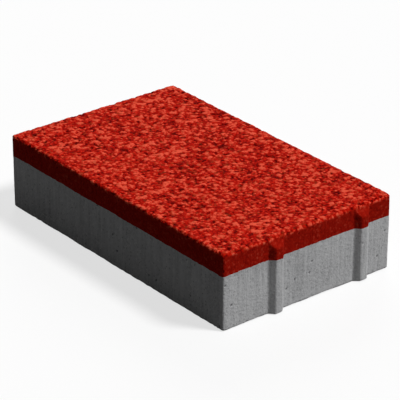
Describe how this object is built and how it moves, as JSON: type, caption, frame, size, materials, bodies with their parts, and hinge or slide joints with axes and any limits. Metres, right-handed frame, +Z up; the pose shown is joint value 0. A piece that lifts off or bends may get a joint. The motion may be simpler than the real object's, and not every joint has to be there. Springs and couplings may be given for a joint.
{
  "type": "concrete paving stone",
  "caption": "Rectangular concrete paving stone: red granular facing bonded to grey backing concrete, small bevel round the top, upright spacer ribs on both ends.",
  "frame": {"origin": "middle of the bed face, under the middle of the stone", "axes": "+X along the length towards one ribbed end, +Y across the width, +Z up from the bed face to the facing"},
  "size_m": [0.264, 0.156, 0.06],
  "materials": {
    "red_facing": "matte",
    "grey_concrete": "matte"
  },
  "bodies": {
    "root": {"facing_layer": "red_facing", "backing_concrete": "grey_concrete"}
  },
  "joints": []
}
